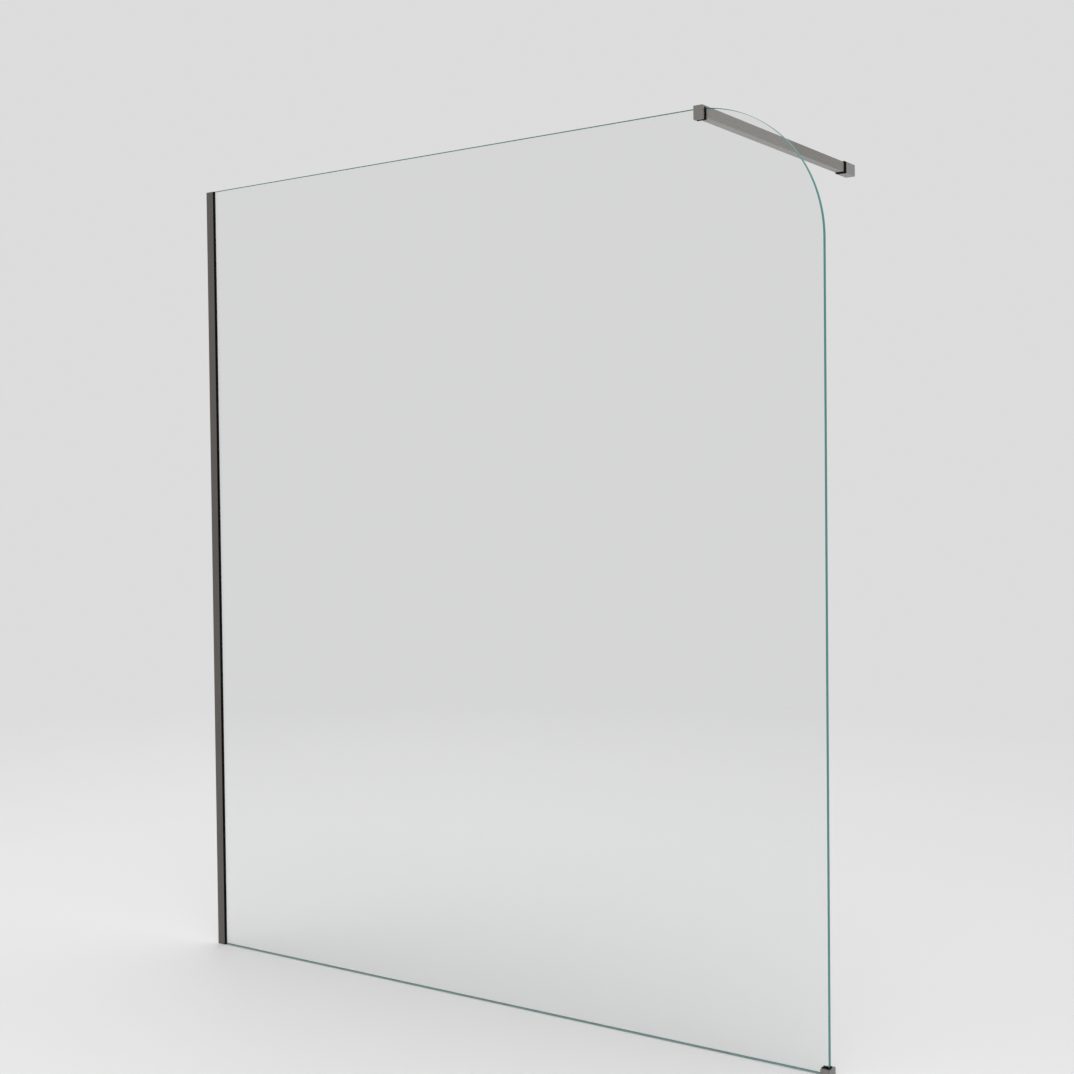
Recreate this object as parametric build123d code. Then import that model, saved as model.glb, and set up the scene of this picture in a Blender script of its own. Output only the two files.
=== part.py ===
from build123d import *
import math
import os

# A walk-in shower screen: one sheet of toughened glass with a large rounded
# top corner. A telescoping two-part profile holds it to one wall, a saddle
# clamp and a straight arm brace its top edge to the wall behind, and a small
# slotted foot holds its free bottom corner on the floor.
#
# All lengths are millimetres. X runs along the glass away from the wall,
# Y goes from the middle of the glass towards the wall behind, Z is up.
# The origin is on the wall's face, at the floor, in the middle of the glass.

# Glass sheet
GLASS_T = 10.0
GLASS_TOP = 2000.0
GLASS_FREE_EDGE = 1767.0
GLASS_CORNER_R = 300.0
GLASS_SMALL_R = 3.0
GLASS_ARRIS = 0.8

# Wall channel, the inner part of the profile
CHANNEL_WEB_T = 1.5
CHANNEL_LEG_T = 1.3
CHANNEL_DEPTH = 11.8
CHANNEL_NOSE = 0.4
CHANNEL_GRIP_W = 0.6
CHANNEL_GRIP_H = 0.25
WALL_HOLE_D = 4.5
WALL_HOLE_END_GAP = 100.0
WALL_HOLE_COUNT = 4
TELESCOPE_CLEARANCE = 0.2

# Adjusting profile, the outer part that is seen
PROFILE_W = 14.6
PROFILE_MOUTH_DEPTH = 10.0
PROFILE_WALL_T = 1.2
PROFILE_WEB_T = 1.2
PROFILE_WALL_GAP = 0.3
PROFILE_CAVITY_GAP = 1.0
PROFILE_EDGE_R = 0.5
PROFILE_LIP_H = 0.4
PROFILE_LIP_W = 1.0
GLASS_WEB_GAP = 1.5

# Glazing gaskets in the profile's mouth
GASKET_START_GAP = 1.0
GASKET_PROUD = 0.5
GASKET_NOSE = 0.5
GASKET_LIP_CLEARANCE = 0.05
GASKET_FLANGE_INSET = 0.35
GASKET_FRONT_LIP = 4.7

# Top cap of the profile
CAP_T = 1.5
CAP_TONGUE_DEPTH = 10.0
CAP_TONGUE_T = 6.0
CAP_CLEARANCE = 0.2
CAP_CHANNEL_GAP = 0.5

# Screws that lock the profile on the channel, and their covers
LOCK_SCREW_X = 5.4
LOCK_SCREW_D = 3.5
LOCK_SCREW_PAST_LEG = 1.7
LOCK_HEAD_D = 6.4
LOCK_HEAD_T = 1.9
LOCK_SOCKET_W = 2.4
LOCK_SOCKET_DEPTH = 1.1
LOCK_HOLE_CLEARANCE = 0.15
LOCK_SCREW_END_GAP = 150.0
LOCK_SCREW_COUNT = 3
COVER_WALL_T = 0.9
COVER_TOP_T = 0.8
COVER_DOME_H = 0.7
COVER_CLEARANCE = 0.15

# Setting block under the glass at the wall side
SETTING_BLOCK_LENGTH = 9.0
SETTING_BLOCK_FLOOR_GAP = 0.3

# Arm tube
ARM_PAST_CORNER = 30.9
ARM_W = 22.0
ARM_H = 24.5
ARM_WALL_T = 1.5
ARM_EDGE_R = 0.8

# Saddle clamp on the top edge of the glass
CLAMP_LINER_T = 2.2
CLAMP_LINER_TOP_T = 0.8
CLAMP_BRIDGE_T = 3.7
CLAMP_FRONT_T = 7.0
CLAMP_REAR_T = 7.0
CLAMP_FRONT_H = 29.5
CLAMP_LINER_PROUD = 0.4
CLAMP_EDGE_R = 0.6
SPIGOT_LENGTH = 26.0
SPIGOT_CLEARANCE = 0.15
SPIGOT_CHAMFER = 1.0
PRESSURE_DISC_D = 13.0
PRESSURE_DISC_T = 3.0
PRESSURE_DISC_CLEARANCE = 0.1
PRESSURE_SCREW_D = 6.0
PRESSURE_SCREW_L = 14.0
PRESSURE_SOCKET_W = 3.0
PRESSURE_SOCKET_DEPTH = 4.0

# Small locking screws under the arm
SMALL_SCREW_D = 4.0
SMALL_SCREW_CLEARANCE = 0.05
SMALL_SOCKET_W = 2.0
SMALL_SOCKET_DEPTH = 2.0
ARM_LOCK_OFFSET = 13.0
ARM_LOCK_BITE = 5.0

# Bracket on the wall behind
BACK_WALL = 764.0
BRACKET_LENGTH = 51.0
BRACKET_SIDE_T = 1.5
BRACKET_TOP_T = 2.0
BRACKET_EDGE_R = 0.8
BRACKET_CLEARANCE = 0.1
BRACKET_COLLAR_LENGTH = 10.8
BRACKET_COLLAR_LIP = 0.3
PLATE_T = 8.0
PLATE_CLEARANCE = 0.1
PLATE_HOLE_D = 4.5
PLATE_HOLE_SPACING = 14.0
PLATE_SINK_D = 8.4
PLATE_SINK_DEPTH = 2.0
ARM_END_GAP = 6.0
BRACKET_SCREW_OFFSET = 30.0

# Foot on the floor
FOOT_W = 26.6
FOOT_H = 15.8
FOOT_END_WALL = 4.5
FOOT_LINER_T = 2.0
FOOT_LINER_PROUD = 2.0
FOOT_FLOOR_T = 2.0
FOOT_EDGE_R = 0.8
FOOT_HOLE_D = 3.6
FOOT_SINK_D = 6.4
FOOT_SINK_DEPTH = 1.2
FOOT_HOLE_SPACING = 8.0
FOOT_PAD_T = 0.5
FOOT_PAD_CLEARANCE = 0.1
FOOT_PAD_CUT_CLEARANCE = 0.2
FOOT_PAD_RIM = 0.35

# Places that follow from the sizes above
PROFILE_HALF = PROFILE_W / 2
MOUTH_HALF = PROFILE_HALF - PROFILE_WALL_T
CHANNEL_HALF = MOUTH_HALF - TELESCOPE_CLEARANCE
CHANNEL_TOP = GLASS_TOP - CAP_T - CAP_CHANNEL_GAP
LOCK_SCREW_TIP = CHANNEL_HALF - CHANNEL_LEG_T - LOCK_SCREW_PAST_LEG
PROFILE_CAVITY_END = CHANNEL_DEPTH + PROFILE_CAVITY_GAP
WEB_FACE = PROFILE_CAVITY_END + PROFILE_WEB_T
PROFILE_FACE = WEB_FACE + PROFILE_MOUTH_DEPTH
GLASS_START = WEB_FACE + GLASS_WEB_GAP
GLASS_HALF = GLASS_T / 2
GLASS_FLOOR_GAP = FOOT_FLOOR_T + FOOT_PAD_T
PROFILE_TOP = GLASS_TOP - CAP_T

ARM_RIGHT_SIDE = GLASS_FREE_EDGE - GLASS_CORNER_R + ARM_PAST_CORNER
ARM_TOP = GLASS_TOP + CLAMP_LINER_TOP_T + CLAMP_BRIDGE_T
ARM_LEFT_SIDE = ARM_RIGHT_SIDE - ARM_W
ARM_MIDDLE_X = ARM_RIGHT_SIDE - ARM_W / 2
ARM_BOTTOM = ARM_TOP - ARM_H
ARM_MIDDLE_Z = ARM_TOP - ARM_H / 2
LINER_HALF = GLASS_HALF + CLAMP_LINER_T
REAR_JAW_BACK = LINER_HALF + CLAMP_REAR_T
FRONT_JAW_BOTTOM = ARM_TOP - CLAMP_FRONT_H
ARM_LOCK_Y = REAR_JAW_BACK + ARM_LOCK_OFFSET

BRACKET_W = ARM_W + 2 * (BRACKET_SIDE_T + BRACKET_CLEARANCE)
BRACKET_H = ARM_H + 2 * (BRACKET_TOP_T + BRACKET_CLEARANCE)
BRACKET_FRONT = BACK_WALL - BRACKET_LENGTH
COLLAR_FRONT = BRACKET_FRONT - BRACKET_COLLAR_LENGTH
PLATE_FRONT = BACK_WALL - PLATE_T
ARM_END = PLATE_FRONT - ARM_END_GAP

FOOT_PAD_CUT_D = FOOT_SINK_D + 2 * FOOT_PAD_CUT_CLEARANCE
FOOT_LENGTH = FOOT_HOLE_SPACING + FOOT_PAD_CUT_D + 2 * FOOT_PAD_RIM + FOOT_LINER_T + FOOT_END_WALL
FOOT_SLOT_END = GLASS_FREE_EDGE + FOOT_LINER_T
FOOT_RIGHT = FOOT_SLOT_END + FOOT_END_WALL
FOOT_LEFT = FOOT_RIGHT - FOOT_LENGTH
FOOT_SLOT_HALF = GLASS_HALF + FOOT_LINER_T
FOOT_HOLE_MIDDLE = (FOOT_LEFT + GLASS_FREE_EDGE) / 2


def block(x0, x1, y0, y1, z0, z1):
    """A plain box given by its two corners."""
    return Pos((x0 + x1) / 2, (y0 + y1) / 2, (z0 + z1) / 2) * Box(x1 - x0, y1 - y0, z1 - z0)


def rod_y(x, z, y0, y1, d):
    """A round bar along Y."""
    return Pos(x, (y0 + y1) / 2, z) * Rot(90, 0, 0) * Cylinder(d / 2, y1 - y0)


def rod_z(x, y, z0, z1, d):
    """A round bar along Z."""
    return Pos(x, y, (z0 + z1) / 2) * Cylinder(d / 2, z1 - z0)


def extrude_up(points, z0, z1):
    """An extrusion with the given outline seen from above."""
    face = make_face(Polyline(*points, close=True))
    return Pos(0, 0, z0) * extrude(face, amount=z1 - z0)


def hex_socket_z(x, y, z0, depth, across, up):
    """The hexagonal recess of a socket screw along Z, opening at z0."""
    hexagon = RegularPolygon(across / 2, 6, major_radius=False)
    tool = extrude(hexagon, amount=depth if up else -depth)
    return Pos(x, y, z0) * tool


def rounded_bar(x0, x1, z0, z1, y0, y1, r):
    """A bar along Y with four rounded long edges."""
    bar = block(x0, x1, y0, y1, z0, z1)
    return fillet(bar.edges().filter_by(Axis.Y), r)


def even_heights(end_gap, count):
    """Heights spread evenly between the same gap at the bottom and at the top."""
    step = (GLASS_TOP - 2 * end_gap) / (count - 1)
    return [end_gap + i * step for i in range(count)]


def lock_screw_heights():
    """Heights of the screws that lock the profile."""
    return even_heights(LOCK_SCREW_END_GAP, LOCK_SCREW_COUNT)


def make_wall_channel():
    """The U extrusion on the wall, with its screw holes and slots."""
    half = CHANNEL_HALF
    inner = CHANNEL_HALF - CHANNEL_LEG_T
    grip = inner + CHANNEL_GRIP_H
    start = CHANNEL_WEB_T + CHANNEL_GRIP_W
    outline = [
        (0, -half),
        (CHANNEL_DEPTH - CHANNEL_NOSE, -half),
        (CHANNEL_DEPTH, -half + CHANNEL_NOSE),
        (CHANNEL_DEPTH, -inner),
        (start + CHANNEL_GRIP_W, -inner),
        (start, -grip),
        (CHANNEL_WEB_T, -grip),
        (CHANNEL_WEB_T, grip),
        (start, grip),
        (start + CHANNEL_GRIP_W, inner),
        (CHANNEL_DEPTH, inner),
        (CHANNEL_DEPTH, half - CHANNEL_NOSE),
        (CHANNEL_DEPTH - CHANNEL_NOSE, half),
        (0, half),
    ]
    channel = extrude_up(outline, 0, CHANNEL_TOP)
    for z in even_heights(WALL_HOLE_END_GAP, WALL_HOLE_COUNT):
        hole = Pos(CHANNEL_WEB_T / 2, 0, z) * Rot(0, 90, 0)
        channel -= hole * Cylinder(WALL_HOLE_D / 2, CHANNEL_WEB_T + 2)
    slot_half = LOCK_SCREW_D / 2 + LOCK_HOLE_CLEARANCE
    for z in lock_screw_heights():
        y0 = inner - 1
        y1 = half + 1
        channel -= rod_y(LOCK_SCREW_X, z, y0, y1, 2 * slot_half)
        channel -= block(LOCK_SCREW_X, CHANNEL_DEPTH + 1, y0, y1, z - slot_half, z + slot_half)
    return channel


def make_adjusting_profile():
    """The H extrusion that is seen: skirt over the channel, mouth for the glass."""
    half = PROFILE_HALF
    inner = MOUTH_HALF
    lip = inner - PROFILE_LIP_H
    lip_start = PROFILE_FACE - PROFILE_LIP_W
    r = PROFILE_EDGE_R
    body = block(PROFILE_WALL_GAP, PROFILE_FACE, -half, half, 0, PROFILE_TOP)
    corners = body.edges().filter_by(Axis.Z)
    body = fillet(corners, r)
    body -= block(PROFILE_WALL_GAP - 1, PROFILE_CAVITY_END, -inner, inner, -1, PROFILE_TOP + 1)
    mouth = [
        (WEB_FACE, -inner),
        (lip_start, -inner),
        (lip_start + 0.3, -lip),
        (PROFILE_FACE + 1, -lip),
        (PROFILE_FACE + 1, lip),
        (lip_start + 0.3, lip),
        (lip_start, inner),
        (WEB_FACE, inner),
    ]
    body -= extrude_up(mouth, -1, PROFILE_TOP + 1)
    for z in lock_screw_heights():
        d = LOCK_SCREW_D + 2 * LOCK_HOLE_CLEARANCE
        body -= rod_y(LOCK_SCREW_X, z, inner - 1, half + 1, d)
    return body


def make_glazing_gasket(side):
    """A wedge gasket between the glass and one leg of the mouth, its flange over the leg's end.

    The front one also has a thin lip that lies on the glass.
    """
    inner = MOUTH_HALF
    lip = inner - PROFILE_LIP_H - GASKET_LIP_CLEARANCE
    lip_start = PROFILE_FACE - PROFILE_LIP_W - GASKET_LIP_CLEARANCE
    start = GLASS_START + GASKET_START_GAP
    end = PROFILE_FACE + GASKET_PROUD
    flange = PROFILE_HALF - GASKET_FLANGE_INSET
    held = [
        (start, GLASS_HALF),
        (start, inner - GASKET_NOSE),
        (start + GASKET_NOSE, inner),
        (lip_start - 0.3, inner),
        (lip_start, lip),
        (PROFILE_FACE, lip),
    ]
    seen = [(PROFILE_FACE, flange), (end - 0.2, flange), (end, flange - 0.2)]
    if side < 0:
        tip = end + GASKET_FRONT_LIP
        seen += [(tip - 0.3, GLASS_HALF + 0.6), (tip, GLASS_HALF + 0.3), (tip, GLASS_HALF)]
    else:
        seen += [(end, GLASS_HALF)]
    gasket = extrude_gasket(held + seen, side, SETTING_BLOCK_FLOOR_GAP, PROFILE_TOP)
    return gasket + extrude_gasket(seen + [(PROFILE_FACE, GLASS_HALF)], side, PROFILE_TOP, GLASS_TOP)


def extrude_gasket(outline, side, z0, z1):
    """A gasket's section on the given side of the glass, carried upwards."""
    points = [(x, side * y) for x, y in outline]
    if side < 0:
        points.reverse()
    return extrude_up(points, z0, z1)


def make_top_cap():
    """The cap on the profile, open for the glass, with a tongue in the channel."""
    half = PROFILE_HALF
    cap = block(PROFILE_WALL_GAP, PROFILE_FACE, -half, half, PROFILE_TOP, GLASS_TOP)
    cap = fillet(cap.edges().filter_by(Axis.Z), PROFILE_EDGE_R)
    slot = GLASS_HALF + CAP_CLEARANCE
    cap -= block(GLASS_START - CAP_CLEARANCE, PROFILE_FACE + 1, -slot, slot, PROFILE_TOP - 1, GLASS_TOP + 1)
    tongue_half = CHANNEL_HALF - CHANNEL_LEG_T - CAP_CLEARANCE
    tongue_end = PROFILE_CAVITY_END - CAP_CLEARANCE
    tongue_start = tongue_end - CAP_TONGUE_T
    tongue = block(tongue_start, tongue_end, -tongue_half, tongue_half, PROFILE_TOP - CAP_TONGUE_DEPTH, PROFILE_TOP)
    tongue = chamfer(tongue.edges().group_by(Axis.Z)[0], 0.5)
    return cap + tongue


def make_lock_screws():
    """Pan head screws through the rear leg of the profile into the channel."""
    screws = []
    head_y = PROFILE_HALF
    for z in lock_screw_heights():
        shank = rod_y(LOCK_SCREW_X, z, LOCK_SCREW_TIP, head_y, LOCK_SCREW_D)
        head = rod_y(LOCK_SCREW_X, z, head_y, head_y + LOCK_HEAD_T, LOCK_HEAD_D)
        head = chamfer(head.edges().group_by(Axis.Y)[-1], LOCK_HEAD_T * 0.45)
        screw = shank + head
        y = head_y + LOCK_HEAD_T
        recess = RegularPolygon(LOCK_SOCKET_W / 2, 6, major_radius=False)
        tool = Pos(LOCK_SCREW_X, y, z) * Rot(90, 0, 0) * extrude(recess, amount=LOCK_SOCKET_DEPTH)
        screws.append(screw - tool)
    return screws


def make_screw_covers():
    """Domed covers that snap over the heads of the lock screws."""
    covers = []
    inner_r = LOCK_HEAD_D / 2 + COVER_CLEARANCE
    outer_r = inner_r + COVER_WALL_T
    inner_h = LOCK_HEAD_T + COVER_CLEARANCE
    outer_h = inner_h + COVER_TOP_T
    for z in lock_screw_heights():
        cover = rod_y(LOCK_SCREW_X, z, PROFILE_HALF, PROFILE_HALF + outer_h, 2 * outer_r)
        cover = chamfer(cover.edges().group_by(Axis.Y)[-1], COVER_DOME_H)
        cover -= rod_y(LOCK_SCREW_X, z, PROFILE_HALF - 1, PROFILE_HALF + inner_h, 2 * inner_r)
        covers.append(cover)
    return covers


def make_setting_block():
    """The hard block that the glass stands on inside the profile."""
    x0 = GLASS_START - GLASS_WEB_GAP / 2
    x1 = x0 + SETTING_BLOCK_LENGTH
    return block(x0, x1, -GLASS_HALF, GLASS_HALF, SETTING_BLOCK_FLOOR_GAP, GLASS_FLOOR_GAP)


def make_glass():
    """The sheet, its large corner, its small corners and its ground edges."""
    x0, x1 = GLASS_START, GLASS_FREE_EDGE
    sheet = block(x0, x1, -GLASS_HALF, GLASS_HALF, GLASS_FLOOR_GAP, GLASS_TOP)
    upright = sheet.edges().filter_by(Axis.Y)
    big = upright.group_by(Axis.X)[-1].sort_by(Axis.Z)[-1]
    sheet = fillet(big, GLASS_CORNER_R)
    small = sheet.edges().filter_by(Axis.Y).group_by(Axis.Z)[0]
    sheet = fillet(small, GLASS_SMALL_R)
    rims = sheet.faces().filter_by(Axis.Y).edges()
    return chamfer(rims, GLASS_ARRIS)


def make_clamp_body():
    """The saddle: front jaw, bridge, rear jaw and the spigot for the tube."""
    x0, x1 = ARM_LEFT_SIDE, ARM_RIGHT_SIDE
    front = -LINER_HALF - CLAMP_FRONT_T
    jaw = block(x0, x1, front, -LINER_HALF, FRONT_JAW_BOTTOM, ARM_TOP)
    rear = block(x0, x1, LINER_HALF, REAR_JAW_BACK, ARM_BOTTOM, ARM_TOP)
    bridge = block(x0, x1, -LINER_HALF, LINER_HALF, GLASS_TOP + CLAMP_LINER_TOP_T, ARM_TOP)
    body = jaw + rear + bridge
    body = fillet(body.edges().filter_by(Axis.Y), CLAMP_EDGE_R)
    front_rim = body.faces().filter_by(Axis.Y).sort_by(Axis.Y)[0].edges()
    body = fillet(front_rim, CLAMP_EDGE_R)
    gap = ARM_WALL_T + SPIGOT_CLEARANCE
    end = REAR_JAW_BACK + SPIGOT_LENGTH
    spigot = block(x0 + gap, x1 - gap, REAR_JAW_BACK, end, ARM_BOTTOM + gap, ARM_TOP - gap)
    spigot = chamfer(spigot.faces().sort_by(Axis.Y)[-1].edges(), SPIGOT_CHAMFER)
    body += spigot
    body -= rod_y(ARM_MIDDLE_X, disc_height(), LINER_HALF - 1, end + 1, PRESSURE_SCREW_D)
    pocket = PRESSURE_DISC_D + 2 * PRESSURE_DISC_CLEARANCE
    pocket_end = LINER_HALF + PRESSURE_DISC_T + PRESSURE_DISC_CLEARANCE
    body -= rod_y(ARM_MIDDLE_X, disc_height(), LINER_HALF - 1, pocket_end, pocket)
    d = SMALL_SCREW_D + 2 * SMALL_SCREW_CLEARANCE
    body -= rod_z(ARM_MIDDLE_X, ARM_LOCK_Y, ARM_BOTTOM, ARM_BOTTOM + gap + ARM_LOCK_BITE, d)
    return body


def disc_height():
    """Height of the pressure disc's middle, centred on the arm."""
    return ARM_MIDDLE_Z


def make_clamp_gasket():
    """The rubber saddle between the clamp and the glass."""
    x0 = ARM_LEFT_SIDE - CLAMP_LINER_PROUD
    x1 = ARM_RIGHT_SIDE + CLAMP_LINER_PROUD
    z0 = FRONT_JAW_BOTTOM
    z1 = GLASS_TOP + CLAMP_LINER_TOP_T
    liner = block(x0, x1, -LINER_HALF, LINER_HALF, z0, z1)
    liner -= block(x0 - 1, x1 + 1, -GLASS_HALF, GLASS_HALF, z0 - 1, GLASS_TOP)
    return liner


def make_pressure_disc():
    """The loose disc that spreads the grub screw's push over the liner."""
    y0 = LINER_HALF
    disc = rod_y(ARM_MIDDLE_X, disc_height(), y0, y0 + PRESSURE_DISC_T, PRESSURE_DISC_D)
    return chamfer(disc.edges().group_by(Axis.Y)[-1], 0.3)


def make_clamp_grub_screw():
    """The grub screw in the spigot that pushes on the disc."""
    y0 = LINER_HALF + PRESSURE_DISC_T
    y1 = y0 + PRESSURE_SCREW_L
    d = PRESSURE_SCREW_D - 2 * SMALL_SCREW_CLEARANCE
    screw = rod_y(ARM_MIDDLE_X, disc_height(), y0, y1, d)
    recess = RegularPolygon(PRESSURE_SOCKET_W / 2, 6, major_radius=False)
    tool = extrude(recess, amount=PRESSURE_SOCKET_DEPTH)
    return screw - Pos(ARM_MIDDLE_X, y1, disc_height()) * Rot(90, 0, 0) * tool


def make_arm_tube():
    """The rectangular tube from the clamp into the bracket."""
    outer = rounded_bar(ARM_LEFT_SIDE, ARM_RIGHT_SIDE, ARM_BOTTOM, ARM_TOP, REAR_JAW_BACK, ARM_END, ARM_EDGE_R)
    t = ARM_WALL_T
    tube = outer - block(
        ARM_LEFT_SIDE + t,
        ARM_RIGHT_SIDE - t,
        REAR_JAW_BACK - 1,
        ARM_END + 1,
        ARM_BOTTOM + t,
        ARM_TOP - t,
    )
    d = SMALL_SCREW_D + 2 * SMALL_SCREW_CLEARANCE
    tube -= rod_z(ARM_MIDDLE_X, ARM_LOCK_Y, ARM_BOTTOM - 1, ARM_BOTTOM + t + 1, d)
    return tube


def make_arm_lock_screw():
    """The grub screw under the tube, into the spigot."""
    gap = ARM_WALL_T + SPIGOT_CLEARANCE
    z0 = ARM_BOTTOM + 0.2
    z1 = ARM_BOTTOM + gap + ARM_LOCK_BITE
    screw = rod_z(ARM_MIDDLE_X, ARM_LOCK_Y, z0, z1, SMALL_SCREW_D)
    return screw - hex_socket_z(ARM_MIDDLE_X, ARM_LOCK_Y, z0, SMALL_SOCKET_DEPTH, SMALL_SOCKET_W, True)


def bracket_outer(y0, y1):
    """The outer form of the bracket, which the collar shares."""
    x0 = ARM_MIDDLE_X - BRACKET_W / 2
    x1 = ARM_MIDDLE_X + BRACKET_W / 2
    z0 = ARM_MIDDLE_Z - BRACKET_H / 2
    z1 = ARM_MIDDLE_Z + BRACKET_H / 2
    return rounded_bar(x0, x1, z0, z1, y0, y1, BRACKET_EDGE_R)


def arm_passage(y0, y1, clearance):
    """A cutting form for the tube to pass through with a clearance."""
    c = clearance
    return block(ARM_LEFT_SIDE - c, ARM_RIGHT_SIDE + c, y0, y1, ARM_BOTTOM - c, ARM_TOP + c)


def make_bracket_collar():
    """The black collar round the tube at the bracket's mouth."""
    collar = bracket_outer(COLLAR_FRONT, BRACKET_FRONT)
    collar = fillet(collar.faces().sort_by(Axis.Y)[0].edges(), BRACKET_COLLAR_LIP)
    return collar - arm_passage(COLLAR_FRONT - 1, BRACKET_FRONT + 1, BRACKET_CLEARANCE)


def bracket_screw_places():
    """Where the two grub screws enter the bracket from below, along Y."""
    return [BACK_WALL - PLATE_T / 2, BACK_WALL - BRACKET_SCREW_OFFSET]


def make_bracket_sleeve():
    """The sleeve that takes the tube and hides the wall plate."""
    sleeve = bracket_outer(BRACKET_FRONT, BACK_WALL)
    sleeve -= arm_passage(BRACKET_FRONT - 1, BACK_WALL + 1, BRACKET_CLEARANCE)
    d = SMALL_SCREW_D + 2 * SMALL_SCREW_CLEARANCE
    low = ARM_MIDDLE_Z - BRACKET_H / 2
    for y in bracket_screw_places():
        sleeve -= rod_z(ARM_MIDDLE_X, y, low - 1, ARM_BOTTOM + 0.5, d)
    return sleeve


def make_wall_plate():
    """The block on the wall inside the sleeve, with two sunk screw holes."""
    c = PLATE_CLEARANCE - BRACKET_CLEARANCE
    x0 = ARM_LEFT_SIDE + c
    x1 = ARM_RIGHT_SIDE - c
    plate = block(x0, x1, PLATE_FRONT, BACK_WALL, ARM_BOTTOM + c, ARM_TOP - c)
    plate = chamfer(plate.faces().sort_by(Axis.Y)[0].edges(), 0.6)
    for side in (-1, 1):
        z = ARM_MIDDLE_Z + side * PLATE_HOLE_SPACING / 2
        plate -= rod_y(ARM_MIDDLE_X, z, PLATE_FRONT - 1, BACK_WALL + 1, PLATE_HOLE_D)
        sink = Pos(ARM_MIDDLE_X, PLATE_FRONT + PLATE_SINK_DEPTH / 2, z) * Rot(90, 0, 0)
        plate -= sink * Cone(PLATE_HOLE_D / 2, PLATE_SINK_D / 2, PLATE_SINK_DEPTH)
    d = SMALL_SCREW_D + 2 * SMALL_SCREW_CLEARANCE
    y = bracket_screw_places()[0]
    plate -= rod_z(ARM_MIDDLE_X, y, ARM_BOTTOM - 1, ARM_BOTTOM + c + 1.5, d)
    return plate


def make_bracket_screw(y, top):
    """A grub screw in the underside of the bracket."""
    z0 = ARM_MIDDLE_Z - BRACKET_H / 2 + 0.2
    screw = rod_z(ARM_MIDDLE_X, y, z0, top, SMALL_SCREW_D)
    return screw - hex_socket_z(ARM_MIDDLE_X, y, z0, SMALL_SOCKET_DEPTH / 2, SMALL_SOCKET_W, True)


def make_foot_body():
    """The slotted block on the floor, with two sunk holes under the glass."""
    half = FOOT_W / 2
    foot = block(FOOT_LEFT, FOOT_RIGHT, -half, half, 0, FOOT_H)
    foot = fillet(foot.edges().filter_by(Axis.Z), FOOT_EDGE_R)
    foot = fillet(foot.faces().sort_by(Axis.Z)[-1].edges(), FOOT_EDGE_R * 0.6)
    s = FOOT_SLOT_HALF
    foot -= block(FOOT_LEFT - 1, FOOT_SLOT_END, -s, s, FOOT_FLOOR_T, FOOT_H + 1)
    for x in foot_hole_places():
        foot -= rod_z(x, 0, -1, FOOT_H, FOOT_HOLE_D)
        sink = Pos(x, 0, FOOT_FLOOR_T - FOOT_SINK_DEPTH / 2)
        foot -= sink * Cone(FOOT_HOLE_D / 2, FOOT_SINK_D / 2, FOOT_SINK_DEPTH)
    return foot


def foot_hole_places():
    """The two floor screws of the foot, along X."""
    return [FOOT_HOLE_MIDDLE - FOOT_HOLE_SPACING / 2, FOOT_HOLE_MIDDLE + FOOT_HOLE_SPACING / 2]


def make_foot_gasket():
    """The rubber liner round the corner of the glass, a U seen from above."""
    s = FOOT_SLOT_HALF
    top = FOOT_H + FOOT_LINER_PROUD
    liner = block(FOOT_LEFT, FOOT_SLOT_END, -s, s, FOOT_FLOOR_T, top)
    liner -= block(FOOT_LEFT - 1, GLASS_FREE_EDGE, -GLASS_HALF, GLASS_HALF, FOOT_FLOOR_T - 1, top + 1)
    return liner


def make_foot_pad():
    """The thin pad under the glass in the foot, cut away over the screws."""
    half = GLASS_HALF - FOOT_PAD_CLEARANCE
    x0 = FOOT_LEFT
    x1 = GLASS_FREE_EDGE - FOOT_PAD_CLEARANCE
    pad = block(x0, x1, -half, half, FOOT_FLOOR_T, GLASS_FLOOR_GAP)
    for x in foot_hole_places():
        pad -= rod_z(x, 0, FOOT_FLOOR_T - 1, GLASS_FLOOR_GAP + 1, FOOT_PAD_CUT_D)
    return pad


def solids_of(shape):
    """Every solid of a shape or of a list of shapes."""
    if isinstance(shape, list):
        return [s for part in shape for s in part.solids()]
    return list(shape.solids())


def build_parts():
    """All pieces by name."""
    plate_screw_y, tube_screw_y = bracket_screw_places()
    parts = {
        "wall_channel": make_wall_channel(),
        "adjusting_profile": make_adjusting_profile(),
        "front_glazing_gasket": make_glazing_gasket(-1),
        "rear_glazing_gasket": make_glazing_gasket(1),
        "profile_top_cap": make_top_cap(),
        "profile_lock_screws": make_lock_screws(),
        "profile_screw_covers": make_screw_covers(),
        "glass_setting_block": make_setting_block(),
        "glass_panel": make_glass(),
        "clamp_body": make_clamp_body(),
        "clamp_gasket": make_clamp_gasket(),
        "clamp_pressure_disc": make_pressure_disc(),
        "clamp_grub_screw": make_clamp_grub_screw(),
        "arm_tube": make_arm_tube(),
        "arm_lock_screw": make_arm_lock_screw(),
        "bracket_collar": make_bracket_collar(),
        "bracket_sleeve": make_bracket_sleeve(),
        "bracket_wall_plate": make_wall_plate(),
        "bracket_plate_screw": make_bracket_screw(plate_screw_y, ARM_BOTTOM + 1.2),
        "bracket_tube_screw": make_bracket_screw(tube_screw_y, ARM_BOTTOM),
        "foot_body": make_foot_body(),
        "foot_gasket": make_foot_gasket(),
        "foot_glass_pad": make_foot_pad(),
    }
    return parts


parts = build_parts()
os.makedirs("parts", exist_ok=True)
for name, shape in parts.items():
    found = solids_of(shape)
    whole = found[0] if len(found) == 1 else Compound(children=found)
    export_step(whole, f"parts/{name}.step")
    print(name, len(found), round(sum(s.volume for s in found), 1))
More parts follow.
